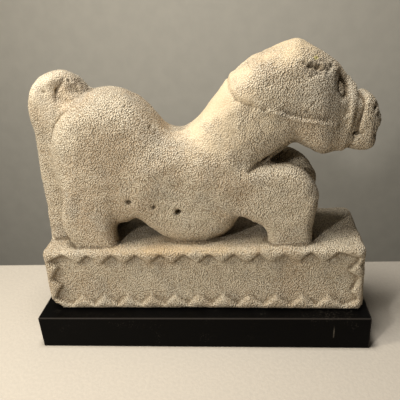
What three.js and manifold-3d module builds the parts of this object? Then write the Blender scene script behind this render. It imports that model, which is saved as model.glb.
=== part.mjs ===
// Limestone animal standing on its carved plinth, with the black display stand under it.
// Millimetres, +Z up, +X towards the head, -Y towards the viewer's side.
// The origin is the middle of the stand's underside.

import * as THREE from 'three';
import { MarchingCubes } from 'three/addons/objects/MarchingCubes.js';
import { SimplifyModifier } from 'three/addons/modifiers/SimplifyModifier.js';
import { mergeVertices } from 'three/addons/utils/BufferGeometryUtils.js';
import Module from 'manifold-3d';

const { clamp, lerp, smoothstep } = THREE.MathUtils;

// Display stand: a plain board with eased edges.
const STAND = { length: 250, depth: 90, height: 27, ease: 1.0 };

// Plinth: the lower part of the stone block, with a sunk panel on its two long faces.
const PLINTH = { length: 236, depth: 66, height: 51, corner: 6, ease: 3.5 };
// Each border of the panel (bottom, right, top, left) has its number of teeth, their lean
// and its inset from the panel's corners.
const PANEL = {
  margin: 2.5,
  tooth: 8,
  sink: 2.4,
  borders: [
    { teeth: 11, lean: 0.46, inset: 15 },
    { teeth: 2, lean: 0.36, inset: 6 },
    { teeth: 11, lean: 0.5, inset: 15 },
    { teeth: 2, lean: 0.3, inset: 6 },
  ],
};

// Animal, seen from the side. Heights (z) are above the plinth's top.
// Each mass is an outline in x and z with a thickness across the body (y).
const BARREL = { x: -4, z: 37.5, r: 43, half: 26, round: 14 };
const RUMP = { x: -61.2, z: 63, rx: 42.8, rz: 50, half: 27, round: 15 };
const NECK = {
  outline: [
    [4, 50],
    [10, 81],
    [32, 109],
    [47, 121.5],
    [71.5, 130.6],
    [92.3, 117.5],
    [102.5, 103],
    [103, 85],
    [101.5, 73.5],
    [92, 69.8],
    [71, 82],
    [43, 62],
    [36, 34],
  ],
  edge: 9,
  half: 25.5,
  round: 14,
};
const CHEEK = { from: 20, to: 80, half: 22 };
const FACE = { from: 84, to: 112, half: 14.5, round: 10 };
const MUZZLE = {
  outline: [
    [109, 97.5],
    [117, 98],
    [121, 93],
    [122.5, 85],
    [120.3, 76],
    [120, 70],
    [110, 70.5],
  ],
  edge: 6,
  half: 14.5,
  round: 8,
};
const FORELEG = { knee: [62, 35], r: 24.5, elbow: [32, 40], elbowR: 19, foot: 68, footHalf: 16 };
const HINDLEG = {
  hip: [-77, 45],
  heel: [-81.5, 19],
  sole: [-75, -10],
  hipR: 18.5,
  heelR: 18.5,
  soleR: 15.5,
};
const LEG = { spread: 17.6, half: 9.6, round: 8, farStep: 2.5 };
const TAIL = {
  foot: -108,
  neck: -104,
  r: 10.5,
  loop: [-92.4, 104.4],
  loopR: 22.4,
  half: 11.5,
  round: 7,
};
const TAIL_HOLLOW = { x: -82, z: 114, r: 10.5, floor: 8 };

// How far the animal runs down into the plinth.
const ROOT = 8;

// Carved bands and marks on the head.
const GROOVE = { top: [113, 104], bottom: [108, 66], half: 1.6, depth: 1.9 };
const NOSEBAND = { back: 4.6, half: 2.4, height: 1.4 };
const CHEEK_STRAP = {
  path: [
    [34, 105],
    [45, 102],
    [57, 96],
    [68, 91.5],
    [84, 88],
    [98, 85.8],
  ],
  r: 2.2,
  sink: 1.2,
};
const EYE = { x: 101, z: 109, rx: 2.6, rz: 5.6, bead: 1.1 };

// Drilled holes in the near flank.
const HOLES = [
  { x: -46, z: 38, r: 1.9 },
  { x: -28.5, z: 33, r: 1.5 },
  { x: -11.5, z: 28.5, r: 1.8 },
];
const HOLE_DEPTH = 7;

// Cell of the sampling grid, and the triangle count the animal is reduced to.
const CELL = 3.4;
const ANIMAL_TRIANGLES = 6200;

const STONE = { color: 0xdcc7a1, roughness: 0.92, metalness: 0 };
const LACQUER = { color: 0x16161a, roughness: 0.38, metalness: 0 };

const wasm = await Module();
wasm.setup();

// Joining and cutting.

function toSolid(geometry) {
  const bare = geometry.clone();
  bare.deleteAttribute('normal');
  bare.deleteAttribute('uv');
  const welded = mergeVertices(bare, 1e-3);
  const vertProperties = new Float32Array(welded.attributes.position.array);
  const triVerts = new Uint32Array(welded.index.array);
  return new wasm.Manifold(new wasm.Mesh({ numProp: 3, vertProperties, triVerts }));
}

function toGeometry(solid) {
  const mesh = solid.getMesh();
  const geometry = new THREE.BufferGeometry();
  geometry.setAttribute('position', new THREE.BufferAttribute(mesh.vertProperties, 3));
  geometry.setIndex(new THREE.BufferAttribute(mesh.triVerts, 1));
  geometry.computeVertexNormals();
  return geometry;
}

// Distance fields: below zero is inside the stone.

function blend(a, b, reach) {
  const h = Math.max(reach - Math.abs(a - b), 0) / reach;
  return Math.min(a, b) - (h * h * reach) / 4;
}

function carve(body, tool, reach) {
  return -blend(-body, tool, reach);
}

function disc(x, z, r) {
  return Math.hypot(x, z) - r;
}

function oval(x, z, rx, rz) {
  const ring = Math.hypot(x / rx, z / rz);
  const slope = Math.hypot(x / (rx * rx), z / (rz * rz));
  return slope === 0 ? -Math.min(rx, rz) : (ring * (ring - 1)) / slope;
}

function along(x, z, a, b) {
  const dx = b[0] - a[0];
  const dz = b[1] - a[1];
  return clamp(((x - a[0]) * dx + (z - a[1]) * dz) / (dx * dx + dz * dz), 0, 1);
}

function bar(x, z, a, b, ra, rb) {
  const t = along(x, z, a, b);
  return Math.hypot(x - lerp(a[0], b[0], t), z - lerp(a[1], b[1], t)) - lerp(ra, rb, t);
}

function polygon(x, z, points) {
  let nearest = Infinity;
  let inside = false;
  for (let i = 0; i < points.length; i++) {
    const a = points[i];
    const b = points[(i + 1) % points.length];
    nearest = Math.min(nearest, bar(x, z, a, b, 0, 0));
    const crosses = a[1] > z !== b[1] > z;
    if (crosses && x < a[0] + ((z - a[1]) * (b[0] - a[0])) / (b[1] - a[1])) {
      inside = !inside;
    }
  }
  return inside ? -nearest : nearest;
}

// A flat outline given thickness, with its edges rounded and its faces a little swollen.
function pillow(flat, across, half, round, swell = 5, reach = 30) {
  const rim = clamp(1 + flat / reach, 0, 1);
  const thick = half - swell * rim * rim;
  const side = flat + round;
  const face = across - (thick - round);
  return Math.min(Math.max(side, face), 0) + Math.hypot(Math.max(side, 0), Math.max(face, 0)) - round;
}

function torso(x, y, z) {
  const across = Math.abs(y);
  const barrel = disc(x - BARREL.x, z - BARREL.z, BARREL.r);
  const rump = oval(x - RUMP.x, z - RUMP.z, RUMP.rx, RUMP.rz);
  const neck = polygon(x, z, NECK.outline) - NECK.edge;
  const cheekHalf = lerp(NECK.half, CHEEK.half, smoothstep(x, CHEEK.from, CHEEK.to));
  const forward = smoothstep(x, FACE.from, FACE.to);
  const neckHalf = lerp(cheekHalf, FACE.half, forward);
  const neckRound = lerp(NECK.round, FACE.round, forward);
  const hind = blend(
    pillow(barrel, across, BARREL.half, BARREL.round),
    pillow(rump, across, RUMP.half, RUMP.round),
    18,
  );
  return blend(hind, pillow(neck, across, neckHalf, neckRound), 14);
}

function legs(x, y, z) {
  const across = Math.abs(Math.abs(y) - LEG.spread);
  const step = y > 0 ? LEG.farStep : 0;
  const fx = x - step;
  const arm = bar(fx, z, FORELEG.elbow, FORELEG.knee, FORELEG.elbowR, FORELEG.r);
  const shin = Math.max(Math.abs(fx - FORELEG.foot) - FORELEG.footHalf, z - FORELEG.knee[1]);
  const hock = bar(x, z, HINDLEG.hip, HINDLEG.heel, HINDLEG.hipR, HINDLEG.heelR);
  const shank = bar(x, z, HINDLEG.heel, HINDLEG.sole, HINDLEG.heelR, HINDLEG.soleR);
  const fore = pillow(blend(arm, shin, 10), across, LEG.half, LEG.round, 0);
  const hind = pillow(blend(hock, shank, 6), across, LEG.half, LEG.round, 0);
  return Math.min(fore, hind);
}

function tail(x, y, z) {
  const across = Math.abs(y);
  const strap = bar(x, z, [TAIL.foot, -10], [TAIL.neck, TAIL.loop[1] - 10], TAIL.r, TAIL.r);
  const loop = disc(x - TAIL.loop[0], z - TAIL.loop[1], TAIL.loopR);
  const whole = pillow(blend(strap, loop, 9), across, TAIL.half, TAIL.round, 0);
  const hollow = disc(x - TAIL_HOLLOW.x, z - TAIL_HOLLOW.z, TAIL_HOLLOW.r);
  return carve(whole, Math.max(hollow, TAIL_HOLLOW.floor - across), 4);
}

function muzzle(x, y, z) {
  const flat = polygon(x, z, MUZZLE.outline) - MUZZLE.edge;
  return pillow(flat, Math.abs(y), MUZZLE.half, MUZZLE.round, 0);
}

function animal(x, y, z) {
  let body = blend(torso(x, y, z), legs(x, y, z), 4.5);
  body = blend(body, tail(x, y, z), 4);
  body = blend(body, muzzle(x, y, z), 7);
  body = Math.max(body, -ROOT - z);
  const t = along(x, z, GROOVE.bottom, GROOVE.top);
  const grooveX = lerp(GROOVE.bottom[0], GROOVE.top[0], t);
  const band = Math.abs(x - grooveX + NOSEBAND.back) - NOSEBAND.half;
  const high = z > GROOVE.bottom[1] - 10;
  if (!high) {
    return body;
  }
  body = blend(body, Math.max(band, body - NOSEBAND.height), 2);
  return carve(body, Math.max(Math.abs(x - grooveX) - GROOVE.half, -body - GROOVE.depth), 2);
}

// The field is sampled on a grid and skinned, then the flat areas are thinned out.
async function animalSolid() {
  const low = new THREE.Vector3(-124, -33, -14);
  const high = new THREE.Vector3(136, 33, 148);
  const size = Math.ceil((high.x - low.x) / CELL) + 4;
  const skin = new MarchingCubes(size, new THREE.MeshBasicMaterial(), false, false, 40000);
  skin.isolation = 0;
  skin.field.fill(-CELL);
  const nudge = CELL * 0.06;
  const place = (i, start) => start + (i - 2) * CELL;
  for (let k = 1; place(k, low.z) < high.z; k++) {
    for (let j = 1; place(j, low.y) < high.y; j++) {
      for (let i = 1; place(i, low.x) < high.x; i++) {
        const depth = -animal(place(i, low.x), place(j, low.y), place(k, low.z));
        skin.setCell(i, j, k, depth < 0 ? Math.min(depth, -nudge) : Math.max(depth, nudge));
      }
    }
  }
  skin.update();
  const corners = skin.positionArray.slice(0, skin.count * 3);
  const half = size / 2;
  for (let n = 0; n < corners.length; n += 3) {
    corners[n] = place((corners[n] + 1) * half, low.x);
    corners[n + 1] = place((corners[n + 1] + 1) * half, low.y);
    corners[n + 2] = place((corners[n + 2] + 1) * half, low.z);
  }
  const geometry = new THREE.BufferGeometry();
  geometry.setAttribute('position', new THREE.BufferAttribute(corners, 3));
  const welded = mergeVertices(geometry, 1e-2);
  const surplus = welded.attributes.position.count - ANIMAL_TRIANGLES / 2;
  return toSolid(await new SimplifyModifier().modify(welded, surplus));
}

// Plinth.

function roundedRectangle(width, depth, r) {
  const shape = new THREE.Shape();
  const w = width / 2;
  const d = depth / 2;
  shape.moveTo(-w + r, -d);
  shape.absarc(w - r, -d + r, r, -Math.PI / 2, 0);
  shape.absarc(w - r, d - r, r, 0, Math.PI / 2);
  shape.absarc(-w + r, d - r, r, Math.PI / 2, Math.PI);
  shape.absarc(-w + r, -d + r, r, Math.PI, 1.5 * Math.PI);
  return shape;
}

function easedBlock(length, depth, height, corner, ease, segments) {
  const shape = roundedRectangle(length - 2 * ease, depth - 2 * ease, Math.max(corner - ease, 0.5));
  const block = new THREE.ExtrudeGeometry(shape, {
    depth: height - 2 * ease,
    bevelEnabled: true,
    bevelThickness: ease,
    bevelSize: ease,
    bevelSegments: segments,
    curveSegments: segments + 1,
  });
  block.translate(0, 0, ease);
  return block;
}

// Outline of the sunk panel: a rectangle whose four sides are rows of leaning teeth.
function panelShape() {
  const w = PLINTH.length / 2 - PANEL.margin;
  const h = PLINTH.height / 2 - PANEL.margin;
  const corners = [[-w, -h], [w, -h], [w, h], [-w, h]];
  const points = [];
  corners.forEach((corner, side) => {
    const next = corners[(side + 1) % 4];
    const { teeth, lean, inset } = PANEL.borders[side];
    const run = new THREE.Vector2(next[0] - corner[0], next[1] - corner[1]);
    const inward = new THREE.Vector2(-run.y, run.x).setLength(PANEL.tooth);
    const start = new THREE.Vector2(corner[0], corner[1]).add(run.clone().setLength(inset));
    run.setLength(run.length() - 2 * inset);
    for (let n = 0; n < teeth; n++) {
      points.push(start.clone().addScaledVector(run, n / teeth));
      points.push(start.clone().addScaledVector(run, (n + lean) / teeth).add(inward));
    }
    points.push(start.clone().add(run));
  });
  return new THREE.Shape(points);
}

function plinthSolid() {
  const block = easedBlock(PLINTH.length, PLINTH.depth, PLINTH.height, PLINTH.corner, PLINTH.ease, 3);
  block.translate(0, 0, -PLINTH.height);
  let plinth = toSolid(block);
  for (const side of [-1, 1]) {
    const panel = new THREE.ExtrudeGeometry(panelShape(), { depth: 10, bevelEnabled: false });
    panel.translate(0, 0, PLINTH.depth / 2 - PANEL.sink);
    panel.rotateX(Math.PI / 2);
    if (side > 0) {
      panel.rotateZ(Math.PI);
    }
    panel.translate(0, 0, -PLINTH.height / 2);
    plinth = plinth.subtract(toSolid(panel));
  }
  return plinth;
}

// Small marks laid on the animal's surface.

function surfaceY(x, z, side) {
  let inner = 0;
  let outer = 40;
  for (let n = 0; n < 30; n++) {
    const middle = (inner + outer) / 2;
    if (animal(x, side * middle, z) < 0) {
      inner = middle;
    } else {
      outer = middle;
    }
  }
  return side * inner;
}

function outward(x, y, z) {
  const step = 1.5;
  return new THREE.Vector3(
    animal(x + step, y, z) - animal(x - step, y, z),
    animal(x, y + step, z) - animal(x, y - step, z),
    animal(x, y, z + step) - animal(x, y, z - step),
  ).normalize();
}

function strapSolid(side) {
  const points = CHEEK_STRAP.path.map(([x, z]) => {
    const y = surfaceY(x, z, side);
    return new THREE.Vector3(x, y, z).addScaledVector(outward(x, y, z), -CHEEK_STRAP.sink);
  });
  const curve = new THREE.CatmullRomCurve3(points);
  const section = new THREE.Shape().absarc(0, 0, CHEEK_STRAP.r, 0, 2 * Math.PI);
  const strap = new THREE.ExtrudeGeometry(section, {
    steps: 14,
    extrudePath: curve,
    curveSegments: 3,
    bevelEnabled: false,
  });
  return toSolid(strap);
}

function eyeSolid(side) {
  const y = surfaceY(EYE.x, EYE.z, side);
  const ring = new THREE.TorusGeometry(1, EYE.bead / EYE.rx, 6, 16);
  ring.scale(EYE.rx, EYE.rz, EYE.rx);
  const upright = new THREE.Vector3(0, 0, 1);
  const normal = outward(EYE.x, y, EYE.z);
  const across = upright.clone().cross(normal).normalize();
  const rise = normal.clone().cross(across);
  ring.applyMatrix4(new THREE.Matrix4().makeBasis(across, rise, normal));
  ring.translate(EYE.x, y, EYE.z);
  return toSolid(ring);
}

function holeSolid(hole) {
  const drill = new THREE.CylinderGeometry(hole.r, hole.r * 0.7, HOLE_DEPTH * 2, 10);
  drill.rotateX(Math.PI);
  drill.translate(hole.x, surfaceY(hole.x, hole.z, -1), hole.z);
  return toSolid(drill);
}

async function sculpture() {
  let stone = (await animalSolid()).add(plinthSolid());
  for (const side of [-1, 1]) {
    stone = stone.add(strapSolid(side)).add(eyeSolid(side));
  }
  for (const hole of HOLES) {
    stone = stone.subtract(holeSolid(hole));
  }
  const mesh = new THREE.Mesh(toGeometry(stone), new THREE.MeshStandardMaterial(STONE));
  mesh.name = 'limestone_sculpture';
  mesh.position.z = STAND.height + PLINTH.height;
  return mesh;
}

function stand() {
  const board = easedBlock(STAND.length, STAND.depth, STAND.height, 2 * STAND.ease, STAND.ease, 2);
  const mesh = new THREE.Mesh(toGeometry(toSolid(board)), new THREE.MeshStandardMaterial(LACQUER));
  mesh.name = 'display_stand';
  return mesh;
}

const group = new THREE.Group();
group.name = 'limestone_animal';
group.add(await sculpture(), stand());

export default group;
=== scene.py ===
"""Limestone animal on its carved plinth, standing on a black lacquered board."""

import math

import bmesh
import bpy
import numpy as np
from bpy.props import FloatProperty, FloatVectorProperty, IntProperty, PointerProperty
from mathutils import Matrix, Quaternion, Vector, noise
from mathutils.bvhtree import BVHTree


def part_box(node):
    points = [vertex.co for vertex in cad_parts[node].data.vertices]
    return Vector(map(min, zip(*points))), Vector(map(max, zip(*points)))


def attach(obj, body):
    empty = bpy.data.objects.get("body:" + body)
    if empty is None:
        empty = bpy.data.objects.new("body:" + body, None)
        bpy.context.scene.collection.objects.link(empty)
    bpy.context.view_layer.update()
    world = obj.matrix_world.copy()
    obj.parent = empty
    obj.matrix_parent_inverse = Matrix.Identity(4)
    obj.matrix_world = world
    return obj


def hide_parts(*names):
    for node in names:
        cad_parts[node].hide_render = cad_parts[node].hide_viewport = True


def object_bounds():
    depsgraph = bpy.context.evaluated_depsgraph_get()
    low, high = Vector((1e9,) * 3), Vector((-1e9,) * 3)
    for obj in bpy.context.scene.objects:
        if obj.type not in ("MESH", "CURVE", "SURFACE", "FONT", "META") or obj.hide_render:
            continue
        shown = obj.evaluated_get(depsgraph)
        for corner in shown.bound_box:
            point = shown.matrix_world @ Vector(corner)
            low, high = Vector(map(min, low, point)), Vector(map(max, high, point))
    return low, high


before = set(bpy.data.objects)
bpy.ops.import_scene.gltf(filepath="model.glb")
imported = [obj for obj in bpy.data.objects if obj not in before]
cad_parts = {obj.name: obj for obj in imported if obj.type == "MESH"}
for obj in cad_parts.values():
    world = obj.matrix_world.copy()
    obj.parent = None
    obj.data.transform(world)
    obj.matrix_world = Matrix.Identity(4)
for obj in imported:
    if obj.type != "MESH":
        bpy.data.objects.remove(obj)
CAD_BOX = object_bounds()

bl_info = {
    "name": "Limestone animal",
    "version": (1, 0, 0),
    "blender": (4, 5, 0),
    "location": "3D View > Sidebar > Limestone animal",
    "description": "Carves the limestone animal, lacquers its stand and sets the stage",
    "category": "Object",
}

MM = 0.001
BOARD_LOW, BOARD_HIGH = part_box("display_stand")
STONE_LOW, STONE_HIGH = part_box("limestone_sculpture")

# Carved and broken marks of the stone, in millimetres: x along the animal,
# z above the plinth's top. A mark is a line drawn on the animal's side.
NEAR = -1
BOTH = 0
STRAP_CUT = [(24.5, 119.5), (27, 111.5), (31.9, 105.9), (36.4, 104.2), (41.5, 102.4), (46, 100.9), (51, 99.1)]
CHEEK_STRAP = [(53, 98.3), (60, 95.3), (65.2, 93.2), (70.4, 91.6), (80.6, 88.8), (91.3, 86.7), (97, 85)]
STRAP_SHADE = [(60, 98.2), (70.4, 94.6), (80.6, 91.8), (91.3, 89.6)]
HEAD_STEP = [(27.8, 121.5), (30.2, 113.5), (34.6, 108.6), (40, 106)]
HEADSTALL = [(49, 134.5), (50.5, 127), (52.5, 120), (53.8, 115)]
NOSEBAND = [(109.6, 107.5), (110.2, 100.4), (109.2, 93.9), (107.8, 88.4), (106.3, 82)]
EYE_VALLEY = [(105.6, 114), (106, 108), (105.2, 100), (104.2, 93)]
NOSE_GROOVE = [(113.6, 105), (114.8, 100.4), (114.6, 96), (113.4, 90), (112.2, 84), (111.2, 77.9)]
JAW_GROOVE = [(110.7, 77.9), (109.2, 71.9), (108.5, 67)]
MOUTH = [(109.9, 77.7), (114.2, 78)]
LEG_CREASE = [(39, 57.2), (46.5, 60.4), (52.4, 63), (58, 66), (66.5, 72)]
CHEEK_FOLD = [(76.7, 96.7), (80, 94), (86.7, 92), (92.5, 91)]
TAIL_CREVICE = [(-85.4, 122.7), (-88.2, 118.2), (-91.1, 115.1), (-92.4, 111.9), (-92.4, 107)]
RUMP_EDGE = [(-72, 110), (-82, 104.5), (-90.5, 98.5), (-97, 90.4), (-101, 79)]

# line, half width, height (below zero is cut in), side
MARKS = [
    (STRAP_CUT, 2.4, -0.9, BOTH),
    (CHEEK_STRAP, 1.9, 1.0, BOTH),
    (STRAP_SHADE, 2.0, -0.5, BOTH),
    (HEAD_STEP, 4.0, 0.9, BOTH),
    (HEADSTALL, 1.4, -0.4, BOTH),
    (NOSEBAND, 2.8, 0.9, BOTH),
    (EYE_VALLEY, 2.6, -1.0, BOTH),
    (NOSE_GROOVE, 1.5, -2.6, BOTH),
    (JAW_GROOVE, 1.6, -0.7, BOTH),
    (MOUTH, 1.7, -2.0, BOTH),
    (LEG_CREASE, 2.2, -1.6, BOTH),
    (CHEEK_FOLD, 1.5, -0.6, NEAR),
    (TAIL_CREVICE, 1.7, -1.0, NEAR),
    (RUMP_EDGE, 1.5, -1.3, BOTH),
]

# place, reach along x, reach along z, height, side
SPOTS = [
    ((79.9, 124.5), 3.2, 1.9, -3.0, NEAR),
    ((83.4, 123.1), 2.4, 1.6, -2.2, NEAR),
    ((87.4, 121.6), 1.8, 1.4, -1.4, NEAR),
    ((91.0, 121.3), 1.9, 1.6, -1.6, NEAR),
    ((75.0, 126.5), 2.2, 1.4, -0.9, NEAR),
    ((80.9, 101.4), 1.1, 0.9, -1.0, NEAR),
    ((77.0, 96.7), 1.5, 1.0, -0.8, NEAR),
    ((79.4, 93.5), 1.7, 1.0, -0.7, NEAR),
    ((50.4, 98.5), 1.3, 1.0, -0.9, NEAR),
    ((65.3, 110.4), 1.2, 1.5, -0.8, NEAR),
    ((-91.0, 115.0), 1.8, 2.4, -0.7, NEAR),
    ((-99.7, 114.7), 1.6, 1.6, -1.6, NEAR),
    ((-77.4, 113.3), 1.7, 1.5, -1.8, NEAR),
    ((-82.6, 120.9), 1.3, 1.3, -1.2, NEAR),
    ((-27.3, 88.1), 1.5, 2.4, -0.8, NEAR),
    ((-24.2, 84.4), 1.4, 2.0, -0.8, NEAR),
    ((-46.6, 36.9), 2.3, 2.3, -4.0, NEAR),
    ((-29.2, 32.4), 1.9, 1.9, -2.6, NEAR),
    ((-12.0, 27.6), 2.3, 2.3, -4.0, NEAR),
    ((123.6, 95.0), 2.4, 3.0, -1.5, NEAR),
]

# Pointed tops of the gaps under the belly: place, reach along x, reach along z, rise.
LIFTS = [
    ((-44.5, 12), 9, 15, 4.5),
    ((34, 12), 8, 15, 4.0),
]

EYE_PLACE = (101.9, 108.6)
EYE_REACH = (3.0, 5.6)
EYE_RIM = 1.9
EYE_CUT = 1.9
EYE_BALL = 0.4
BROW_PLACE = (101.2, 111.5)
BROW_REACH = (7.5, 12)
BROW_CUT = 1.8
EAR_PLACE = (84.5, 123)
EAR_REACH = (12.5, 6.5)
EAR_CUT = 0.4
EAR_ROUGHNESS = 1.7
TAIL_PLACE = (-77.0, 115)
TAIL_REACH = (9.5, 10.5)
TAIL_ROUGHNESS = 1.5
MUZZLE_PLACE = (126.0, 85)
MUZZLE_REACH = (5.5, 17)
MUZZLE_ROUGHNESS = 1.1

# The plinth: half its length, half its depth, and its foot below its top.
END = 117
SIDE = 33
FOOT = -51

# Knocked corners and edges of the plinth: place (x, y, z), way the break faces, reach, depth.
CHIPS = [
    ((-END, -SIDE, FOOT), (-0.6, -0.35, -0.8), 22, 7.5),
    ((END, -SIDE, FOOT), (0.6, -0.6, -0.6), 12, 3.4),
    ((-END, -SIDE, 0), (-0.6, -0.6, 0.6), 12, 2.6),
    ((END, -SIDE, 0), (0.6, -0.6, 0.6), 14, 3.4),
    ((END, -SIDE, -15), (0.8, -0.6, 0), 9, 2.4),
    ((-END, SIDE, 0), (-0.6, 0.6, 0.6), 13, 3.4),
    ((END, SIDE, 0), (0.6, 0.6, 0.6), 12, 2.8),
    ((END, SIDE, FOOT), (0.6, 0.6, -0.6), 15, 4.0),
    ((-6, -SIDE, FOOT), (0, -0.7, -0.7), 5, 1.8),
    ((52, SIDE, 0), (0, 0.7, 0.7), 14, 2.2),
    ((-61, SIDE, FOOT), (0, 0.7, -0.7), 13, 2.2),
]

# Stretch of the near long face where the upper teeth are worn away: place and reach along x and z.
WORN_PLACE = (61, -8)
WORN_REACH = (19, 11)

# How much further the toothed panels are sunk, and how far the plinth is out of square: its head
# end outwards, the lower teeth along, the far corner back and up, the front's foot forwards.
PANEL_DEPTH = 1.0
END_SHIFT = 3.2
ROW_SHIFT = 4.5
CORNER_SHIFT = 3.0
CORNER_RISE = 1.2
FOOT_SHIFT = 1.0
FOOT_SPLAY = 1.6

# Parts of the stone: place (x, y, z), reach, fineness of the ragged edge. The neck, crown and curl are smooth
# parts; the neck and crown take a tone that is partly painted light, and the cheek is greyed with painted
# shade.
NECK = ((20, 0, 99), (50, 60, 56), 70.0)
CROWN = ((70, 0, 137), (40, 50, 20), 90.0)
CHEEK_SHADE = ((88, -20, 105), (34, 30, 24), 90.0)
CURL = ((-97, -10, 112), (26, 30, 34), 90.0)

# Stains and painted shade of the stone, in the order they are laid on: colour, place, reach, fineness, share.
STAINS_AND_SHADES = [
    # Painted shade: the ear scar, the eye socket, the tail's hollow and the gap under the belly, darkened
    # where shade falls.
    ("dirt_and_shade", (83.5, -17, 123.2), (16, 12, 5.5), 420.0, 0.75),
    ("dirt_and_shade", (101.5, -12.5, 110.5), (6.5, 12, 9.5), 420.0, 0.75),
    ("dirt_and_shade", (-76.5, -4, 117), (9, 12, 11), 420.0, 0.55),
    ("dirt_and_shade", (34, 4, 12), (26, 24, 14), 420.0, 0.9),
    # Painted shade: a faint darker tone on the rump, the tail's end and the muzzle's side.
    ("dirt_and_shade", (-60, -30, 68), (36, 30, 34), 60.0, 0.2),
    ("dirt_and_shade", (-104, -12, 85), (22, 30, 45), 60.0, 0.2),
    ("dirt_and_shade", (112, -14, 85), (26, 30, 30), 60.0, 0.2),
    # Stains of the stone: the dip of the back, the plinth's top front edge, a spot on the plinth's front and
    # lichen by the lost ear.
    ("stain", (-22, 3, 86.5), (13, 24, 12), 260.0, 0.75),
    ("ochre", (-12, -32, 0), (80, 12, 6), 110.0, 0.5),
    ("stain", (44.5, -32.5, -2), (4, 6, 5), 300.0, 0.7),
    ("lichen", (83, -14.5, 128.7), (2.4, 4, 1.8), 500.0, 0.8),
]

# Lights: degrees round from the viewer's side and degrees up.
KEY_BEARING = (-64, 32)
SIDE_BEARING = (-28, 28)
TOP_BEARING = (-40, 84)


class StoneSettings(bpy.types.PropertyGroup):
    """Sizes and colours of the limestone sculpture."""

    plinth_height: FloatProperty(
        name="Plinth height",
        description="From the board's top to the plinth's top",
        default=0.051,
        unit="LENGTH",
    )
    cell: FloatProperty(
        name="Cell",
        description="Edge of the cells that the carved surface is made of",
        default=0.00124,
        unit="LENGTH",
    )
    animal_rounds: IntProperty(
        name="Rubbing of the animal",
        description="Rounds of smoothing on the animal",
        default=34,
    )
    head_rounds: IntProperty(
        name="Rubbing of the head's front",
        description="Rounds of smoothing from the eye forwards",
        default=12,
    )
    feet_rounds: IntProperty(
        name="Rubbing of the feet",
        description="Rounds of smoothing where the legs meet the plinth",
        default=4,
    )
    plinth_rounds: IntProperty(
        name="Rubbing of the plinth",
        description="Rounds of smoothing on the plinth",
        default=1,
    )
    swell_height: FloatProperty(
        name="Swell height",
        description="Height of the slow waves of the hand-cut surface",
        default=0.0005,
        unit="LENGTH",
    )
    lump_height: FloatProperty(
        name="Lump height",
        description="Height of the small lumps left by the tool",
        default=0.00045,
        unit="LENGTH",
    )
    grain_height: FloatProperty(
        name="Grain height",
        description="Height of the weathered grain",
        default=0.00026,
        unit="LENGTH",
    )
    cream: FloatVectorProperty(
        name="Cream",
        description="Clean limestone",
        subtype="COLOR",
        size=4,
        default=(0.70, 0.595, 0.44, 1.0),
    )
    pale: FloatVectorProperty(
        name="Pale",
        description="Bright grains that stand proud",
        subtype="COLOR",
        size=4,
        default=(0.86, 0.78, 0.62, 1.0),
    )
    # Partly painted light: this tone is set to how brightly the lit neck and crown show.
    skin: FloatVectorProperty(
        name="Skin",
        description="Smooth yellowish skin of the neck and crown",
        subtype="COLOR",
        size=4,
        default=(0.57, 0.45, 0.285, 1.0),
    )
    buff: FloatVectorProperty(
        name="Buff",
        description="Warmer patches of the limestone",
        subtype="COLOR",
        size=4,
        default=(0.60, 0.47, 0.325, 1.0),
    )
    grey: FloatVectorProperty(
        name="Grey",
        description="Grey weathering",
        subtype="COLOR",
        size=4,
        default=(0.47, 0.43, 0.36, 1.0),
    )
    # Also painted shade: this colour darkens the broad creases, the ear scar, the eye socket, the tail's
    # hollow, the gap under the belly and the sides of the rump, tail end and muzzle.
    dirt_and_shade: FloatVectorProperty(
        name="Dirt",
        description="Earth held in the hollows",
        subtype="COLOR",
        size=4,
        default=(0.22, 0.16, 0.095, 1.0),
    )
    # Painted shade: darkens the places that are shut in from the open air.
    recess_shade: FloatVectorProperty(
        name="Soil",
        description="Dark soil in the deepest recesses",
        subtype="COLOR",
        size=4,
        default=(0.085, 0.056, 0.028, 1.0),
    )
    ochre: FloatVectorProperty(
        name="Ochre",
        description="Warm tint along the plinth's top edge",
        subtype="COLOR",
        size=4,
        default=(0.68, 0.48, 0.26, 1.0),
    )
    lichen: FloatVectorProperty(
        name="Lichen",
        description="Yellow-green speck beside the lost ear",
        subtype="COLOR",
        size=4,
        default=(0.46, 0.42, 0.12, 1.0),
    )
    stain: FloatVectorProperty(
        name="Stain",
        description="Brown stain in the dip of the back",
        subtype="COLOR",
        size=4,
        default=(0.38, 0.27, 0.16, 1.0),
    )


class StandSettings(bpy.types.PropertyGroup):
    """Sizes and colours of the display stand."""

    arris: FloatProperty(
        name="Arris",
        description="Width of the eased edges",
        default=0.0007,
        unit="LENGTH",
    )
    lacquer: FloatVectorProperty(
        name="Lacquer",
        description="Black lacquer",
        subtype="COLOR",
        size=4,
        default=(0.0016, 0.0014, 0.0013, 1.0),
    )
    # Partly worn lacquer, partly a painted highlight along the eased edges.
    rubbed_and_sheen: FloatVectorProperty(
        name="Rubbed edge",
        description="Lacquer worn thin along the edges",
        subtype="COLOR",
        size=4,
        default=(0.06, 0.05, 0.042, 1.0),
    )
    dust: FloatVectorProperty(
        name="Dust",
        description="Stone dust on the lacquer",
        subtype="COLOR",
        size=4,
        default=(0.32, 0.28, 0.22, 1.0),
    )


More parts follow.
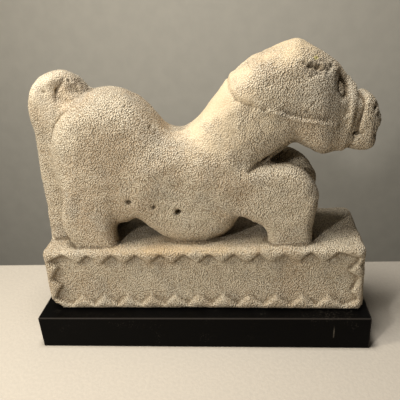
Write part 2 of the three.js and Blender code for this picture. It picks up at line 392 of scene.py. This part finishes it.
class StageSettings(bpy.types.PropertyGroup):
    """Floor, backdrop, lights and camera."""

    floor: FloatVectorProperty(
        name="Floor",
        description="Pale floor",
        subtype="COLOR",
        size=4,
        default=(0.53, 0.475, 0.4, 1.0),
    )
    wall: FloatVectorProperty(
        name="Backdrop",
        description="Grey backdrop",
        subtype="COLOR",
        size=4,
        default=(0.58, 0.545, 0.47, 1.0),
    )
    floor_back: FloatProperty(
        name="Floor behind",
        description="How far the floor runs behind the object's middle",
        default=0.078,
        unit="LENGTH",
    )
    key_power: FloatProperty(name="Key light", description="Power of the key light", default=2.4)
    side_power: FloatProperty(name="Side light", description="Power of the side light", default=1.6)
    top_power: FloatProperty(name="Top light", description="Power of the light above", default=3.75)
    key_colour: FloatVectorProperty(
        name="Key colour",
        description="Warm white of the key light",
        subtype="COLOR",
        size=3,
        default=(1.0, 0.945, 0.82),
    )
    soft_colour: FloatVectorProperty(
        name="Soft colour",
        description="White of the side and top lights",
        subtype="COLOR",
        size=3,
        default=(1.0, 0.975, 0.93),
    )
    fill: FloatProperty(name="Fill", description="Strength of the soft light all round", default=0.015)
    camera_place: FloatVectorProperty(
        name="Camera place",
        description="Where the camera stands",
        subtype="TRANSLATION",
        size=3,
        default=(0.0378678, -0.3303014, 0.2531842),
    )
    camera_yaw: FloatProperty(
        name="Yaw",
        description="Turn of the camera to the head's side",
        default=math.radians(-6.24088),
        subtype="ANGLE",
    )
    camera_tilt: FloatProperty(
        name="Tilt",
        description="How far the camera looks down",
        default=math.radians(24.25556),
        subtype="ANGLE",
    )
    camera_roll: FloatProperty(
        name="Roll",
        description="Lean of the camera",
        default=math.radians(-3.89661),
        subtype="ANGLE",
    )
    camera_lens: FloatProperty(name="Lens", description="Focal length in mm", default=42.97356)


class LimestoneAnimalSettings(bpy.types.PropertyGroup):
    """All settings of the limestone animal."""

    stone: PointerProperty(type=StoneSettings)
    stand: PointerProperty(type=StandSettings)
    stage: PointerProperty(type=StageSettings)


# Mesh helpers


def link_piece(name, mesh):
    piece = bpy.data.objects.new(name, mesh)
    bpy.context.scene.collection.objects.link(piece)
    return piece


def mesh_of(bm, name):
    mesh = bpy.data.meshes.new(name)
    bm.to_mesh(mesh)
    bm.free()
    return mesh


def block(low, high):
    bm = bmesh.new()
    bmesh.ops.create_cube(bm, size=1.0)
    bmesh.ops.scale(bm, vec=high - low, verts=bm.verts)
    bmesh.ops.translate(bm, vec=(low + high) / 2, verts=bm.verts)
    return bm


def places(bm):
    return np.array([vert.co for vert in bm.verts])


def set_places(bm, points):
    for vert, point in zip(bm.verts, points.tolist()):
        vert.co = point


def rub(bm, verts, rounds, inwards=0.5, outwards=-0.52):
    """Smooths without shrinking: each round pulls in, then pushes back out."""
    for _ in range(rounds):
        for factor in (inwards, outwards):
            bmesh.ops.smooth_vert(
                bm, verts=verts, factor=factor, use_axis_x=True, use_axis_y=True, use_axis_z=True
            )


def softened(bm, rounds):
    """Places of the vertices after plain smoothing, with the mesh left as it was."""
    before = places(bm)
    for _ in range(rounds):
        bmesh.ops.smooth_vert(
            bm, verts=bm.verts, factor=0.5, use_axis_x=True, use_axis_y=True, use_axis_z=True
        )
    after = places(bm)
    set_places(bm, before)
    return after


def normals(bm):
    bm.normal_update()
    return np.array([vert.normal for vert in bm.verts])


def set_attribute(mesh, name, values):
    attribute = mesh.attributes.new(name, "FLOAT", "POINT")
    attribute.data.foreach_set("value", values.astype(np.float32))


# Shaping helpers


def ease(value, start, end):
    """0 at start and 1 at end, smooth between."""
    t = np.clip((value - start) / (end - start), 0.0, 1.0)
    return t * t * (3.0 - 2.0 * t)


def line_distance(x, z, line):
    nearest = np.full(x.shape, np.inf)
    for (ax, az), (bx, bz) in zip(line, line[1:]):
        dx, dz = bx - ax, bz - az
        t = np.clip(((x - ax) * dx + (z - az) * dz) / (dx * dx + dz * dz), 0.0, 1.0)
        nearest = np.minimum(nearest, np.hypot(x - ax - t * dx, z - az - t * dz))
    return nearest


def oval_distance(x, z, place, reach):
    return np.hypot((x - place[0]) / reach[0], (z - place[1]) / reach[1])


def rough(points, size, seed):
    """Smooth noise from about -1 to 1, with lumps of the given size."""
    shift = Vector((seed * 17.3, seed * 5.1, seed * 9.7))
    return np.array([noise.noise(Vector(point) / size + shift) for point in points.tolist()])


def on_side(y, side):
    return 1.0 if side == BOTH else ease(y * side, 2.0, 6.0)


# Limestone


def rough_copy(cell):
    """The CAD stone skinned again with small even cells."""
    bm = bmesh.new()
    bm.from_mesh(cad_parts["limestone_sculpture"].data)
    bmesh.ops.remove_doubles(bm, verts=bm.verts, dist=1e-6)
    draft = link_piece("stone_draft", mesh_of(bm, "stone_draft"))
    skin = draft.modifiers.new("Skin", "REMESH")
    skin.mode = "VOXEL"
    skin.voxel_size = cell
    ready = draft.evaluated_get(bpy.context.evaluated_depsgraph_get())
    mesh = bpy.data.meshes.new_from_object(ready)
    bpy.data.objects.remove(draft)
    bm = bmesh.new()
    bm.from_mesh(mesh)
    bpy.data.meshes.remove(mesh)
    bm.normal_update()
    floor = STONE_LOW.z + 0.3 * MM
    under = [face for face in bm.faces if face.normal.z < -0.9 and face.calc_center_median().z < floor]
    bmesh.ops.dissolve_faces(bm, faces=under, use_verts=True)
    return bm


def rub_down(bm, settings, top):
    """Takes the facets off the animal and the sharpness off the plinth."""
    feet = [vert for vert in bm.verts if top + 1.5 * MM < vert.co.z <= top + 8 * MM]
    animal = [vert for vert in bm.verts if vert.co.z > top + 8 * MM]
    head = [vert for vert in animal if vert.co.x > 96 * MM and vert.co.z > top + 60 * MM]
    face = set(head)
    body = [vert for vert in animal if vert not in face]
    plinth = [vert for vert in bm.verts if vert.co.z <= top + 1.5 * MM]
    rub(bm, body, settings.animal_rounds)
    rub(bm, head, settings.head_rounds)
    rub(bm, feet, settings.feet_rounds)
    rub(bm, plinth, settings.plinth_rounds)


def carved_height(x, y, z):
    """Height of the carved and broken marks over the smooth form, in millimetres."""
    height = np.zeros(x.shape)
    for line, half, rise, side in MARKS:
        height += rise * ease(line_distance(x, z, line), half, 0.0) * on_side(y, side)
    for place, reach_x, reach_z, rise, side in SPOTS:
        spot = ease(oval_distance(x, z, place, (reach_x, reach_z)), 1.0, 0.35)
        height += rise * spot * on_side(y, side)
    hollow = ease(oval_distance(x, z, BROW_PLACE, BROW_REACH), 1.0, 0.3)
    eye = oval_distance(x, z, EYE_PLACE, EYE_REACH)
    rim = ease(np.abs(eye - 1.0) * EYE_REACH[0], EYE_RIM, 0.0)
    ball = ease(eye, 1.0, 0.2)
    height += (EYE_BALL * ball - EYE_CUT * rim - BROW_CUT * hollow) * ease(np.abs(y), 5.0, 9.0)
    return height


def broken_height(points, x, y, z):
    """Rough broken stone: the lost ear, the tail's inner edge and the muzzle's front."""
    lumps = rough(points, 4.6, 3) + 0.7 * rough(points, 2.4, 4)
    crumbs = rough(points, 2.9, 4) + 0.8 * rough(points, 1.7, 10)
    stump = oval_distance(x, z, EAR_PLACE, EAR_REACH)
    ear = ease(stump, 1.0, 0.45) * on_side(y, NEAR)
    tail = ease(oval_distance(x, z, TAIL_PLACE, TAIL_REACH), 1.0, 0.5) * ease(y, 8.0, 2.0)
    nose = ease(oval_distance(x, z, MUZZLE_PLACE, MUZZLE_REACH), 1.0, 0.5)
    height = ear * (EAR_ROUGHNESS * crumbs - EAR_CUT)
    height += tail * (TAIL_ROUGHNESS * lumps - 0.4) + nose * MUZZLE_ROUGHNESS * (lumps - 0.2)
    return height, np.maximum(np.maximum(ear, tail), nose)


def knock_corners(points):
    """Breaks the plinth's edges and corners away along rough cuts."""
    crumbs = 1.0 + 0.3 * rough(points, 4.0, 9)
    moved = np.zeros(points.shape)
    for place, facing, reach, depth in CHIPS:
        outward = np.array(facing) / np.linalg.norm(facing)
        offset = points - np.array(place)
        bite = depth * ease(np.linalg.norm(offset, axis=1), reach, reach * 0.2)
        over = np.where(bite > 0.0, offset @ outward + bite * crumbs, 0.0)
        moved -= np.outer(np.maximum(over, 0.0), outward)
    return moved


def deepen_panels(points):
    """Sinks the toothed panels of the long faces a little further."""
    x, y, z = points.T
    sunk = ease(SIDE - np.abs(y), 0.9, 2.2) * ease(SIDE - np.abs(y), 5.0, 3.5)
    within = ease(END - np.abs(x), 3.0, 5.0) * ease(z, -1.0, -3.0) * ease(z - FOOT, 1.0, 3.0)
    return -np.sign(y) * PANEL_DEPTH * sunk * within


def out_of_square(points):
    """Shift of the plinth's head end, front foot and far corner, where the block isn't square."""
    x, y, z = points.T
    low = ease(z, 2.0, -1.0)
    shift = np.zeros_like(points)
    row = ease(z, -26.0, -36.0) * ease(x, 0.0, 85.0) * ease(x, END, 100.0)
    shift[:, 0] = END_SHIFT * low * ease(x, 88.0, 115.0) + ROW_SHIFT * row
    front = ease(y, -20.0, -30.0) * ease(z, -25.0, -48.0)
    corner = ease(x, 50.0, 105.0) * low
    shift[:, 1] = CORNER_SHIFT * corner * ease(y, 15.0, SIDE)
    shift[:, 1] -= (FOOT_SHIFT + FOOT_SPLAY * ease(x, 0.0, 100.0)) * front
    shift[:, 2] = CORNER_RISE * corner * ease(y, 5.0, 30.0) * ease(z, -12.0, -1.0)
    return shift


def lift_gaps(points):
    """Rise of the underside where the gaps under the belly come to a point."""
    rise = np.zeros(len(points))
    for (x, z), reach_x, reach_z, amount in LIFTS:
        across = np.clip(1.0 - np.abs(points[:, 0] - x) / reach_x, 0.0, 1.0)
        up = ease(points[:, 2], 1.0, 7.0) * ease(points[:, 2], z + reach_z, z)
        rise += amount * across * up
    return rise


def wear_of_edges(points):
    """How far each place of the plinth is worn towards its softer form, from 0 to 1."""
    x, y, z = points.T
    wear = 0.3 * ease(rough(points, 17.0, 1), -0.15, 0.55)
    upper = ease(z, -15.0, -11.0) * (0.25 + 0.3 * rough(points, 9.0, 2))
    lost = ease(oval_distance(x, z, WORN_PLACE, WORN_REACH), 1.0, 0.6) * ease(y, -20.0, -25.0)
    wear = np.clip(np.maximum(np.maximum(wear, upper), lost), 0.0, 1.0)
    outer = np.maximum(ease(SIDE - np.abs(y), 5.5, 3.0), ease(END - np.abs(x), 7.0, 4.0))
    return wear * outer * ease(z, 3.0, 0.0) * ease(z - FOOT, 0.5, 3.0)


def shut_in(bm, reach, rays):
    """Share of the open air that each vertex cannot see within reach, eased over its neighbours."""
    coarse = bmesh.new()
    coarse.from_mesh(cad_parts["limestone_sculpture"].data)
    tree = BVHTree.FromBMesh(coarse)
    coarse.free()
    outward = normals(bm)
    starts = places(bm) + outward * 1.6 * MM
    chance = np.random.default_rng(5)
    blocked = np.zeros(len(starts))
    for _ in range(rays):
        ball = chance.normal(size=starts.shape)
        ball /= np.linalg.norm(ball, axis=1)[:, None]
        ways = outward + 0.98 * ball
        ways /= np.linalg.norm(ways, axis=1)[:, None]
        hits = [tree.ray_cast(a, b, reach)[0] is not None for a, b in zip(starts.tolist(), ways.tolist())]
        blocked += np.array(hits)
    share = blocked / rays
    ends = np.array([(edge.verts[0].index, edge.verts[1].index) for edge in bm.edges])
    near = np.bincount(ends.ravel(), minlength=len(share))
    for _ in range(4):
        total = np.bincount(ends[:, 0], share[ends[:, 1]], len(share))
        total += np.bincount(ends[:, 1], share[ends[:, 0]], len(share))
        share = 0.5 * share + 0.5 * total / np.maximum(near, 1)
    return share


def carve_limestone(settings):
    top = BOARD_HIGH.z + settings.plinth_height
    rise = np.array((0, 0, top))
    bm = rough_copy(settings.cell)
    rub_down(bm, settings, top)

    start = places(bm)
    soft = softened(bm, 14)
    start += (soft - start) * wear_of_edges((start - rise) / MM)[:, None]
    set_places(bm, start)

    points = (start - rise) / MM
    outward = normals(bm)
    points += knock_corners(points)
    points[:, 1] += deepen_panels(points)
    points[:, 2] += lift_gaps(points)
    warped = points + np.stack([rough(points, 7.0, seed) for seed in (11, 12, 13)], axis=1) * 0.7
    x, y, z = warped.T
    height = carved_height(x, y, z) * ease(points[:, 2], 0.0, 4.0)
    broken, broken_mask = broken_height(points, x, y, z)
    height += broken
    pits = np.minimum(rough(points, 2.2, 7), 0.15)
    grain = 0.9 * pits + 0.6 * rough(points, 1.5, 8)
    above = ease(points[:, 2] - FOOT, 0.2, 2.0)
    height += above * (
        rough(points, 24.0, 5) * settings.swell_height / MM
        + rough(points, 7.5, 6) * settings.lump_height / MM
        + grain * settings.grain_height / MM
    )
    points += outward * height[:, None]
    points += out_of_square(points)
    points[:, 2] = np.maximum(points[:, 2], (STONE_LOW.z - top) / MM)
    set_places(bm, points * MM + rise)

    bm.verts.index_update()
    # How shut in each place is, and the line where the feet meet the plinth; the finish paints shade from
    # both.
    recess = shut_in(bm, 0.03, 14)
    outward = normals(bm)
    now = places(bm)
    near = ((softened(bm, 4) - now) * outward).sum(axis=1) / MM
    wide = ((softened(bm, 40) - now) * outward).sum(axis=1) / MM
    # Painted shadow line along the feet's contact with the plinth's top, laid into the recess.
    foot_shade = ease(wide, 0.12, 0.6) * ease(np.abs(points[:, 2] - 0.8), 3.0, 0.8)
    recess = np.maximum(recess, 0.85 * foot_shade)
    for face in bm.faces:
        face.smooth = True
    mesh = mesh_of(bm, "carved_limestone")
    # The pores hold the grain's dirt; hollow and recess give the painted shade of the creases and the shut-in
    # places.
    set_attribute(mesh, "pores", near)
    set_attribute(mesh, "hollow", wide)
    set_attribute(mesh, "recess", recess)
    set_attribute(mesh, "broken", broken_mask)
    return link_piece("carved_limestone", mesh)


# Stand


def lacquered_board(settings):
    bm = block(BOARD_LOW, BOARD_HIGH)
    bmesh.ops.bevel(
        bm,
        geom=bm.edges[:],
        offset=settings.arris,
        offset_type="OFFSET",
        affect="EDGES",
        segments=3,
        profile=0.5,
        material=-1,
    )
    bmesh.ops.recalc_face_normals(bm, faces=bm.faces)
    flat = [face for face in bm.faces if face.calc_area() > 1e-3]
    bmesh.ops.inset_individual(bm, faces=flat, thickness=settings.arris * 0.4, use_even_offset=True)
    # The eased edges' vertices, which the finish lightens: worn lacquer and a painted highlight.
    inner = {vert for face in bm.faces if face.calc_area() > 1e-3 for vert in face.verts}
    worn_and_sheen = np.array([0.0 if vert in inner else 1.0 for vert in bm.verts])
    mesh = mesh_of(bm, "lacquered_board")
    set_attribute(mesh, "arris", worn_and_sheen)
    return link_piece("lacquered_board", mesh)


# Material helpers


def add_node(tree, kind, **values):
    made = tree.nodes.new(kind)
    for name, value in values.items():
        setattr(made, name, value)
    return made


def feed(tree, source, target):
    tree.links.new(source, target)


def new_group(name, inputs, outputs):
    group = bpy.data.node_groups.new(name, "ShaderNodeTree")
    for label, kind, default in inputs:
        socket = group.interface.new_socket(name=label, in_out="INPUT", socket_type=kind)
        if default is not None:
            socket.default_value = default
    for label, kind in outputs:
        group.interface.new_socket(name=label, in_out="OUTPUT", socket_type=kind)
    return group, add_node(group, "NodeGroupInput"), add_node(group, "NodeGroupOutput")


def speckle_group():
    """Rounded grains of a set fineness: a mask of the pits between them and a height."""
    group, given, made = new_group(
        "speckle",
        [("Vector", "NodeSocketVector", None), ("Fineness", "NodeSocketFloat", 500.0)],
        [("Mask", "NodeSocketFloat"), ("Height", "NodeSocketFloat")],
    )
    grain = add_node(group, "ShaderNodeTexVoronoi", feature="F1")
    feed(group, given.outputs["Vector"], grain.inputs["Vector"])
    feed(group, given.outputs["Fineness"], grain.inputs["Scale"])
    pits = add_node(group, "ShaderNodeMapRange", interpolation_type="SMOOTHSTEP")
    pits.inputs["From Min"].default_value = 0.3
    pits.inputs["From Max"].default_value = 0.78
    feed(group, grain.outputs["Distance"], pits.inputs["Value"])
    proud = add_node(group, "ShaderNodeMath", operation="SUBTRACT")
    proud.inputs[0].default_value = 1.0
    feed(group, grain.outputs["Distance"], proud.inputs[1])
    feed(group, pits.outputs["Result"], made.inputs["Mask"])
    feed(group, proud.outputs["Value"], made.inputs["Height"])
    return group


def mark_group():
    """A soft oval mark at a place, broken up by noise."""
    group, given, made = new_group(
        "soft_mark",
        [
            ("Vector", "NodeSocketVector", None),
            ("Place", "NodeSocketVector", None),
            ("Reach", "NodeSocketVector", (0.01, 0.01, 0.01)),
            ("Fineness", "NodeSocketFloat", 200.0),
        ],
        [("Mask", "NodeSocketFloat")],
    )
    offset = add_node(group, "ShaderNodeVectorMath", operation="SUBTRACT")
    feed(group, given.outputs["Vector"], offset.inputs[0])
    feed(group, given.outputs["Place"], offset.inputs[1])
    share = add_node(group, "ShaderNodeVectorMath", operation="DIVIDE")
    feed(group, offset.outputs["Vector"], share.inputs[0])
    feed(group, given.outputs["Reach"], share.inputs[1])
    length = add_node(group, "ShaderNodeVectorMath", operation="LENGTH")
    feed(group, share.outputs["Vector"], length.inputs[0])
    broken = add_node(group, "ShaderNodeTexNoise")
    broken.inputs["Detail"].default_value = 3.0
    feed(group, given.outputs["Vector"], broken.inputs["Vector"])
    feed(group, given.outputs["Fineness"], broken.inputs["Scale"])
    sway = add_node(group, "ShaderNodeMath", operation="MULTIPLY_ADD")
    sway.inputs[1].default_value = 1.2
    feed(group, broken.outputs["Fac"], sway.inputs[0])
    feed(group, length.outputs["Value"], sway.inputs[2])
    mask = add_node(group, "ShaderNodeMapRange", interpolation_type="SMOOTHSTEP")
    mask.inputs["From Min"].default_value = 1.6
    mask.inputs["From Max"].default_value = 0.7
    feed(group, sway.outputs["Value"], mask.inputs["Value"])
    feed(group, mask.outputs["Result"], made.inputs["Mask"])
    return group


def shared_group(name):
    """The named node group, made the first time it is asked for."""
    makers = {"speckle": speckle_group, "soft_mark": mark_group}
    return bpy.data.node_groups.get(name) or makers[name]()


class Finish:
    """A material under making, with its Principled shader and short ways to add nodes."""

    def __init__(self, name):
        self.material = bpy.data.materials.new(name)
        self.material.use_nodes = True
        self.tree = self.material.node_tree
        self.tree.nodes.clear()
        self.shader = add_node(self.tree, "ShaderNodeBsdfPrincipled")
        output = add_node(self.tree, "ShaderNodeOutputMaterial")
        feed(self.tree, self.shader.outputs["BSDF"], output.inputs["Surface"])
        self.place = add_node(self.tree, "ShaderNodeTexCoord").outputs["Object"]

    def cloud(self, fineness, detail=3.0, low=0.4, high=0.6):
        made = add_node(self.tree, "ShaderNodeTexNoise")
        made.inputs["Scale"].default_value = fineness
        made.inputs["Detail"].default_value = detail
        feed(self.tree, self.place, made.inputs["Vector"])
        return self.spread(made.outputs["Fac"], low, high)

    def attribute(self, name):
        return add_node(self.tree, "ShaderNodeAttribute", attribute_name=name).outputs["Fac"]

    def spread(self, value, low, high, to_low=0.0, to_high=1.0):
        made = add_node(self.tree, "ShaderNodeMapRange", interpolation_type="SMOOTHSTEP")
        made.inputs["From Min"].default_value = low
        made.inputs["From Max"].default_value = high
        made.inputs["To Min"].default_value = to_low
        made.inputs["To Max"].default_value = to_high
        feed(self.tree, value, made.inputs["Value"])
        return made.outputs["Result"]

    def speckle(self, fineness):
        made = add_node(self.tree, "ShaderNodeGroup", node_tree=shared_group("speckle"))
        made.inputs["Fineness"].default_value = fineness
        feed(self.tree, self.place, made.inputs["Vector"])
        return made.outputs["Mask"], made.outputs["Height"]

    def mark(self, place, reach, fineness):
        made = add_node(self.tree, "ShaderNodeGroup", node_tree=shared_group("soft_mark"))
        made.inputs["Place"].default_value = place
        made.inputs["Reach"].default_value = reach
        made.inputs["Fineness"].default_value = fineness
        feed(self.tree, self.place, made.inputs["Vector"])
        return made.outputs["Mask"]

    def times(self, value, other):
        made = add_node(self.tree, "ShaderNodeMath", operation="MULTIPLY")
        feed(self.tree, value, made.inputs[0])
        if isinstance(other, float):
            made.inputs[1].default_value = other
        else:
            feed(self.tree, other, made.inputs[1])
        return made.outputs["Value"]

    def plus(self, value, other):
        made = add_node(self.tree, "ShaderNodeMath", operation="ADD")
        feed(self.tree, value, made.inputs[0])
        feed(self.tree, other, made.inputs[1])
        return made.outputs["Value"]

    def mix(self, under, over, share):
        made = add_node(self.tree, "ShaderNodeMix", data_type="RGBA")
        for value, socket in ((under, made.inputs[6]), (over, made.inputs[7])):
            if isinstance(value, bpy.types.NodeSocket):
                feed(self.tree, value, socket)
            else:
                socket.default_value = value
        feed(self.tree, share, made.inputs[0])
        return made.outputs[2]

    def bump(self, height, distance, strength=1.0):
        made = add_node(self.tree, "ShaderNodeBump")
        made.inputs["Distance"].default_value = distance
        made.inputs["Strength"].default_value = strength
        feed(self.tree, height, made.inputs["Height"])
        feed(self.tree, made.outputs["Normal"], self.shader.inputs["Normal"])


def stone_mark(finish, top, place, reach, fineness):
    """A soft mark on the stone, in millimetres from the middle of the plinth's top."""
    return finish.mark(Vector(place) * MM + Vector((0.0, 0.0, top)), Vector(reach) * MM, fineness)


def limestone_finish(settings, top):
    finish = Finish("limestone")
    colour = finish.mix(settings.cream, settings.buff, finish.cloud(26.0, 4.0, 0.38, 0.66))
    colour = finish.mix(colour, settings.grey, finish.times(finish.cloud(60.0, 5.0, 0.48, 0.72), 0.5))
    # The neck and crown take the skin tone: partly their own smooth yellowish skin, partly painted light, its
    # tone set to how brightly these lit upper parts show.
    neck = stone_mark(finish, top, *NECK)
    colour = finish.mix(colour, settings.skin, finish.times(neck, 0.8))
    crown = stone_mark(finish, top, *CROWN)
    colour = finish.mix(colour, settings.skin, finish.times(crown, 0.9))
    # Painted shade: the cheek, which turns away from the light, is greyed and darkened.
    cheek_shade = stone_mark(finish, top, *CHEEK_SHADE)
    colour = finish.mix(colour, settings.grey, finish.times(cheek_shade, 0.6))

    curl = finish.times(stone_mark(finish, top, *CURL), 0.6)
    smooth = finish.plus(finish.plus(neck, finish.times(crown, 0.65)), curl)
    rougher = finish.spread(smooth, 0.0, 0.9, 1.0, 0.15)
    grain, height = finish.speckle(980.0)
    proud = finish.times(finish.spread(height, 0.5, 0.8), finish.times(rougher, 0.75))
    colour = finish.mix(colour, settings.pale, proud)
    blotch = finish.times(finish.cloud(150.0, 2.0, 0.1, 0.5), rougher)
    colour = finish.mix(colour, settings.dirt_and_shade, finish.times(finish.times(grain, blotch), 0.62))

    pores = finish.spread(finish.attribute("pores"), 0.0, 0.3)
    colour = finish.mix(colour, settings.dirt_and_shade, finish.times(pores, 0.5))
    # Painted shade: the broad hollows and creases are darkened.
    hollow = finish.spread(finish.attribute("hollow"), 0.3, 2.0)
    colour = finish.mix(colour, settings.dirt_and_shade, finish.times(hollow, 0.75))
    # Painted shade: the shut-in places, the gaps and the feet's contact line are darkened.
    recess = finish.spread(finish.attribute("recess"), 0.5, 0.95)
    colour = finish.mix(colour, settings.recess_shade, finish.times(recess, 0.55))
    broken = finish.times(finish.attribute("broken"), 0.35)
    colour = finish.mix(colour, settings.grey, broken)

    # Lays on the stains and the painted shade.
    for tint, place, reach, fineness, share in STAINS_AND_SHADES:
        mark = stone_mark(finish, top, place, reach, fineness)
        colour = finish.mix(colour, getattr(settings, tint), finish.times(mark, share))
    feed(finish.tree, colour, finish.shader.inputs["Base Color"])
    feed(finish.tree, finish.spread(grain, 0.0, 1.0, 0.84, 0.96), finish.shader.inputs["Roughness"])
    finish.shader.inputs["Specular IOR Level"].default_value = 0.2
    finish.bump(finish.times(height, rougher), 0.0016)
    return finish.material


def lacquer_finish(settings):
    finish = Finish("black_lacquer")
    smudge = finish.cloud(38.0, 4.0, 0.35, 0.7)
    specks, height = finish.speckle(900.0)
    dust = finish.spread(specks, 0.93, 1.0)
    front = finish.mark((0.094, BOARD_LOW.y + 0.005, BOARD_HIGH.z), (0.03, 0.01, 0.004), 160.0)
    sparse = finish.times(finish.cloud(70.0, 3.0, 0.56, 0.72), 0.06)
    dusty = finish.times(dust, finish.plus(finish.times(front, 0.05), sparse))
    # The eased edges are lightened: partly worn lacquer, partly a painted highlight.
    colour = finish.mix(settings.lacquer, settings.rubbed_and_sheen, finish.times(finish.attribute("arris"), 0.4))
    scratch = finish.mark((0.0987, BOARD_LOW.y, 0.015), (0.0007, 0.003, 0.0065), 500.0)
    colour = finish.mix(colour, settings.dust, finish.times(scratch, 0.3))
    colour = finish.mix(colour, settings.dust, dusty)
    feed(finish.tree, colour, finish.shader.inputs["Base Color"])
    feed(finish.tree, finish.spread(smudge, 0.0, 1.0, 0.34, 0.5), finish.shader.inputs["Roughness"])
    finish.shader.inputs["Specular IOR Level"].default_value = 0.05
    finish.bump(height, 0.00008, 0.4)
    return finish.material


def stage_finish(name, colour, fineness):
    finish = Finish(name)
    grain = finish.cloud(fineness, 4.0, 0.3, 0.7)
    darker = [channel * 0.94 for channel in colour[:3]] + [1.0]
    feed(finish.tree, finish.mix(colour, darker, grain), finish.shader.inputs["Base Color"])
    feed(finish.tree, finish.spread(grain, 0.0, 1.0, 0.9, 0.8), finish.shader.inputs["Roughness"])
    finish.bump(grain, 0.0002, 0.4)
    return finish.material


# Stage


def stage_block(name, low, high, material):
    bm = block(Vector(low), Vector(high))
    bmesh.ops.bevel(
        bm,
        geom=bm.edges[:],
        offset=0.004,
        offset_type="OFFSET",
        affect="EDGES",
        segments=3,
        profile=0.5,
        material=-1,
    )
    piece = link_piece(name, mesh_of(bm, name))
    piece.data.materials.append(material)


def area_light(name, bearing, distance, size, power, colour):
    """A round light; its bearing is degrees round from the viewer's side, and degrees up."""
    data = bpy.data.lights.new(name, "AREA")
    data.shape = "DISK"
    data.size = size
    data.energy = power
    data.color = colour
    lamp = bpy.data.objects.new(name, data)
    bpy.context.scene.collection.objects.link(lamp)
    turn, rise = (math.radians(angle) for angle in bearing)
    towards = Vector((math.sin(turn) * math.cos(rise), -math.cos(turn) * math.cos(rise), math.sin(rise)))
    lamp.location = (CAD_BOX[0] + CAD_BOX[1]) / 2 + towards * distance
    lamp.rotation_euler = towards.to_track_quat("Z", "Y").to_euler()


def set_camera(settings):
    data = bpy.data.cameras.new("camera")
    data.sensor_fit = "HORIZONTAL"
    data.sensor_width = 36.0
    data.lens = settings.camera_lens
    data.clip_start = 0.01
    camera = bpy.data.objects.new("camera", data)
    bpy.context.scene.collection.objects.link(camera)
    level = math.cos(settings.camera_tilt)
    ahead = Vector(
        (
            math.sin(settings.camera_yaw) * level,
            math.cos(settings.camera_yaw) * level,
            -math.sin(settings.camera_tilt),
        )
    )
    lean = Quaternion((0, 0, 1), settings.camera_roll)
    camera.rotation_mode = "QUATERNION"
    camera.rotation_quaternion = ahead.to_track_quat("-Z", "Y") @ lean
    camera.location = settings.camera_place
    bpy.context.scene.camera = camera


class LIMESTONE_OT_sculpture(bpy.types.Operator):
    """Carve the animal and its plinth"""

    bl_idname = "limestone.sculpture"
    bl_label = "Limestone sculpture"

    def execute(self, context):
        settings = context.scene.limestone_animal.stone
        piece = carve_limestone(settings)
        piece.data.materials.append(limestone_finish(settings, BOARD_HIGH.z + settings.plinth_height))
        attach(piece, "root")
        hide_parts("limestone_sculpture")
        return {"FINISHED"}


class LIMESTONE_OT_stand(bpy.types.Operator):
    """Make the black display stand"""

    bl_idname = "limestone.stand"
    bl_label = "Display stand"

    def execute(self, context):
        settings = context.scene.limestone_animal.stand
        piece = lacquered_board(settings)
        piece.data.materials.append(lacquer_finish(settings))
        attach(piece, "root")
        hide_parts("display_stand")
        return {"FINISHED"}


class LIMESTONE_OT_stage(bpy.types.Operator):
    """Set the floor, backdrop, lights and camera"""

    bl_idname = "limestone.stage"
    bl_label = "Stage"

    def execute(self, context):
        settings = context.scene.limestone_animal.stage
        floor = stage_finish("pale_floor", settings.floor, 400.0)
        wall = stage_finish("grey_backdrop", settings.wall, 40.0)
        stage_block("floor", (-1.1, -1.1, -0.03), (1.1, settings.floor_back, 0.0), floor)
        stage_block("backdrop", (-1.6, 0.55, -0.8), (1.6, 0.58, 1.5), wall)
        area_light("key", KEY_BEARING, 0.6, 0.12, settings.key_power, settings.key_colour)
        area_light("side", SIDE_BEARING, 0.6, 0.05, settings.side_power, settings.soft_colour)
        area_light("top", TOP_BEARING, 0.6, 0.2, settings.top_power, settings.soft_colour)
        world = bpy.data.worlds.new("soft_light")
        world.use_nodes = True
        sky = world.node_tree.nodes["Background"]
        sky.inputs["Color"].default_value = (1.0, 0.95, 0.88, 1.0)
        sky.inputs["Strength"].default_value = settings.fill
        context.scene.world = world
        context.scene.view_settings.view_transform = "Standard"
        set_camera(settings)
        return {"FINISHED"}


class LIMESTONE_PT_panel(bpy.types.Panel):
    """Limestone animal"""

    bl_idname = "LIMESTONE_PT_panel"
    bl_label = "Limestone animal"
    bl_space_type = "VIEW_3D"
    bl_region_type = "UI"
    bl_category = "Limestone animal"

    def draw(self, context):
        settings = context.scene.limestone_animal
        for operator, group in (
            (LIMESTONE_OT_sculpture, settings.stone),
            (LIMESTONE_OT_stand, settings.stand),
            (LIMESTONE_OT_stage, settings.stage),
        ):
            box = self.layout.box()
            box.operator(operator.bl_idname)
            for name in group.__annotations__:
                box.prop(group, name)


CLASSES = (
    StoneSettings,
    StandSettings,
    StageSettings,
    LimestoneAnimalSettings,
    LIMESTONE_OT_sculpture,
    LIMESTONE_OT_stand,
    LIMESTONE_OT_stage,
    LIMESTONE_PT_panel,
)


def register():
    for cls in CLASSES:
        bpy.utils.register_class(cls)
    bpy.types.Scene.limestone_animal = PointerProperty(type=LimestoneAnimalSettings)


def unregister():
    del bpy.types.Scene.limestone_animal
    for cls in reversed(CLASSES):
        bpy.utils.unregister_class(cls)


def main():
    register()
    bpy.ops.limestone.sculpture()
    bpy.ops.limestone.stand()
    bpy.ops.limestone.stage()


if __name__ == "__main__":
    main()
